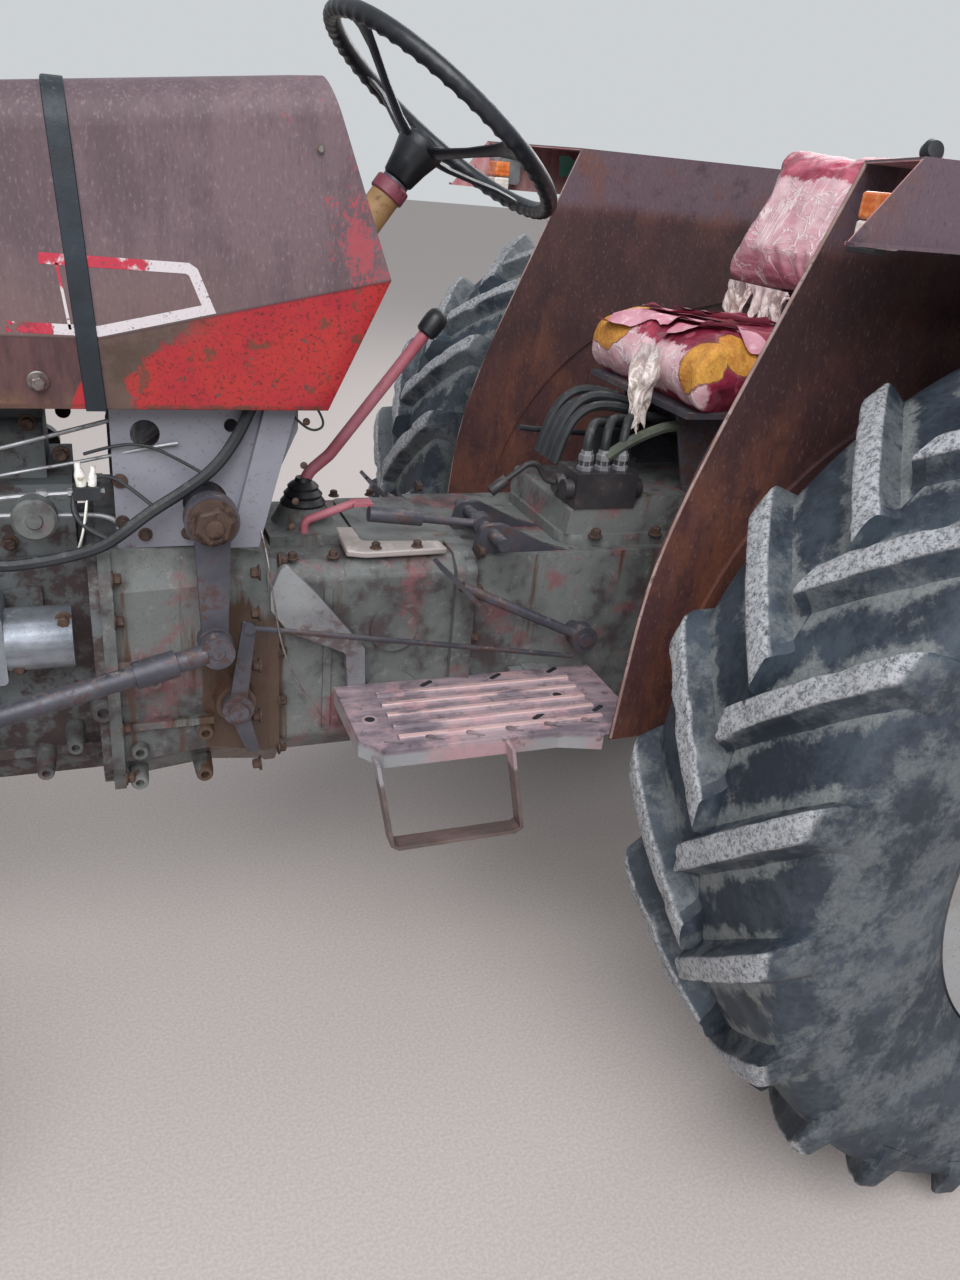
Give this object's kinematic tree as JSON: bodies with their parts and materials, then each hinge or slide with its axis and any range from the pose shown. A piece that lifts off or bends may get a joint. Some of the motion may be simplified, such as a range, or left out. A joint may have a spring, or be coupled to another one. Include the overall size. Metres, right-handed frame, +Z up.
{
  "type": "farm tractor",
  "caption": "Open-platform farm tractor with rear-wheel drive, faded bonnet, bare engine sides, lugged rear tyres, worn seat and a rear linkage.",
  "frame": {"origin": "on the ground under the middle of the whole tractor's outline, as parked", "axes": "+X forwards towards the grille, +Y to the driver's left, +Z up"},
  "size_m": [3.3963, 1.89, 1.96],
  "materials": {
    "engine_grey": "painted casting, oily",
    "pump_alloy": "bare alloy, dull",
    "exhaust_black": "matt heat paint with rust",
    "radiator_black": "matt",
    "casting_grey": "painted casting with red overspray and oil",
    "bonnet_red": "oxidised paint, dull above and bright below",
    "grille_black": "satin",
    "lamp_glass": "clear",
    "panel_grey": "light grey paint, chipped",
    "lever_red": "worn paint",
    "black_steel": "worn black paint",
    "dark_steel": "bare steel, darkened by rust and grease",
    "light_alloy": "bare alloy, dull",
    "footplate_pink": "faded paint worn to the steel",
    "fender_red": "rusty brown red paint",
    "seat_vinyl": "faded vinyl with torn clear film",
    "hose_rubber": "matt",
    "tyre": "dusty, chalky on the worn faces",
    "rim_silver": "worn silver paint",
    "rim_red": "worn paint",
    "wheel_black": "worn"
  },
  "bodies": {
    "chassis": {"engine": "engine_grey", "engine_ancillaries": "pump_alloy", "exhaust": "exhaust_black", "radiator": "radiator_black", "front_bolster": "casting_grey", "front_axle": "casting_grey", "bell_housing": "casting_grey", "gearbox": "casting_grey", "rear_axle_housing": "casting_grey", "lift_cover": "casting_grey", "hood": "bonnet_red", "nose": "bonnet_red", "grille": "grille_black", "lamps": "lamp_glass", "bulkhead": "panel_grey", "steering_gear": "casting_grey", "gear_levers": "lever_red", "hand_lever": "black_steel", "pedals": "black_steel", "clutch_shaft": "dark_steel", "platform_hangers": "light_alloy", "platforms": "footplate_pink", "fender_left": "fender_red", "fender_right": "fender_red", "seat_frame": "black_steel", "seat_cushion": "seat_vinyl", "seat_back": "seat_vinyl", "spool_valve": "black_steel", "hoses": "hose_rubber", "hitch": "casting_grey", "pto_shaft": "dark_steel"},
    "rear_wheel_left": {"rear_tyre_left": "tyre", "rear_rim_left": "rim_silver"},
    "rear_wheel_right": {"rear_tyre_right": "tyre", "rear_rim_right": "rim_silver"},
    "knuckle_left": {"knuckle_left": "casting_grey"},
    "knuckle_right": {"knuckle_right": "casting_grey"},
    "front_wheel_left": {"front_tyre_left": "tyre", "front_rim_left": "rim_red"},
    "front_wheel_right": {"front_tyre_right": "tyre", "front_rim_right": "rim_red"},
    "steering_wheel": {"steering_wheel": "wheel_black"},
    "drop_arm_left": {"drop_arm_left": "dark_steel"},
    "drop_arm_right": {"drop_arm_right": "dark_steel"},
    "drag_link_left": {"drag_link_left": "dark_steel"},
    "drag_link_right": {"drag_link_right": "dark_steel"},
    "lift_arms": {"lift_arms": "dark_steel"},
    "lower_link_left": {"lower_link_left": "dark_steel"},
    "lower_link_right": {"lower_link_right": "dark_steel"},
    "lift_rod_left": {"lift_rod_left": "dark_steel"},
    "lift_rod_right": {"lift_rod_right": "dark_steel"}
  },
  "joints": [
    {"name": "knuckle_left_steer", "type": "hinge", "parent": "chassis", "child": "knuckle_left", "pos_m": [1.299, 0.56, 0.5], "axis": [0, 0, 1], "range_deg": [-35, 35]},
    {"name": "rear_wheel_left_spin", "type": "hinge", "parent": "chassis", "child": "rear_wheel_left", "pos_m": [-0.851, 0.755, 0.69], "axis": [0, 1, 0], "continuous": true},
    {"name": "front_wheel_left_spin", "type": "hinge", "parent": "knuckle_left", "child": "front_wheel_left", "pos_m": [1.299, 0.69, 0.4], "axis": [0, 1, 0], "continuous": true},
    {"name": "drop_arm_left_swing", "type": "hinge", "parent": "chassis", "child": "drop_arm_left", "pos_m": [0.369, 0.264, 0.972], "axis": [0, 1, 0], "range_deg": [-25, 25]},
    {"name": "drag_link_left_pivot", "type": "hinge", "parent": "drop_arm_left", "child": "drag_link_left", "pos_m": [0.369, 0.295, 0.782], "axis": [0, 1, 0], "range_deg": [-25, 25]},
    {"name": "rear_wheel_right_spin", "type": "hinge", "parent": "chassis", "child": "rear_wheel_right", "pos_m": [-0.851, -0.755, 0.69], "axis": [0, 1, 0], "continuous": true},
    {"name": "knuckle_right_steer", "type": "hinge", "parent": "chassis", "child": "knuckle_right", "pos_m": [1.299, -0.56, 0.5], "axis": [0, 0, 1], "range_deg": [-35, 35]},
    {"name": "front_wheel_right_spin", "type": "hinge", "parent": "knuckle_right", "child": "front_wheel_right", "pos_m": [1.299, -0.69, 0.4], "axis": [0, 1, 0], "continuous": true},
    {"name": "drop_arm_right_swing", "type": "hinge", "parent": "chassis", "child": "drop_arm_right", "pos_m": [0.369, -0.264, 0.972], "axis": [0, 1, 0], "range_deg": [-25, 25]},
    {"name": "drag_link_right_pivot", "type": "hinge", "parent": "drop_arm_right", "child": "drag_link_right", "pos_m": [0.369, -0.295, 0.782], "axis": [0, 1, 0], "range_deg": [-25, 25]},
    {"name": "steering_wheel_turn", "type": "hinge", "parent": "chassis", "child": "steering_wheel", "pos_m": [-0.018, 0, 1.515], "axis": [-0.5835, 0, 0.8121], "range_deg": [-525, 525]},
    {"name": "lift_arms_raise", "type": "hinge", "parent": "chassis", "child": "lift_arms", "pos_m": [-0.961, 0, 0.925], "axis": [0, 1, 0], "range_deg": [-10, 50]},
    {"name": "lower_link_left_raise", "type": "hinge", "parent": "chassis", "child": "lower_link_left", "pos_m": [-0.891, 0.222, 0.52], "axis": [0, 1, 0], "range_deg": [-6.7, 33.3]},
    {"name": "lift_rod_left_pivot", "type": "hinge", "parent": "lift_arms", "child": "lift_rod_left", "pos_m": [-1.221, 0.243, 0.855], "axis": [0, 1, 0], "range_deg": [-50, 10]},
    {"name": "lower_link_right_raise", "type": "hinge", "parent": "chassis", "child": "lower_link_right", "pos_m": [-0.891, -0.222, 0.52], "axis": [0, 1, 0], "range_deg": [-6.7, 33.3]},
    {"name": "lift_rod_right_pivot", "type": "hinge", "parent": "lift_arms", "child": "lift_rod_right", "pos_m": [-1.221, -0.243, 0.855], "axis": [0, 1, 0], "range_deg": [-50, 10]}
  ],
  "couplings": [
    {"joint": "drop_arm_left_swing", "follows": "knuckle_left_steer", "ratio": -0.714},
    {"joint": "drag_link_left_pivot", "follows": "knuckle_left_steer", "ratio": 0.714},
    {"joint": "knuckle_right_steer", "follows": "knuckle_left_steer", "ratio": 1},
    {"joint": "drop_arm_right_swing", "follows": "knuckle_left_steer", "ratio": 0.714},
    {"joint": "drag_link_right_pivot", "follows": "knuckle_left_steer", "ratio": -0.714},
    {"joint": "steering_wheel_turn", "follows": "knuckle_left_steer", "ratio": 15},
    {"joint": "lower_link_left_raise", "follows": "lift_arms_raise", "ratio": 0.665},
    {"joint": "lift_rod_left_pivot", "follows": "lift_arms_raise", "ratio": -1},
    {"joint": "lower_link_right_raise", "follows": "lift_arms_raise", "ratio": 0.665},
    {"joint": "lift_rod_right_pivot", "follows": "lift_arms_raise", "ratio": -1}
  ]
}
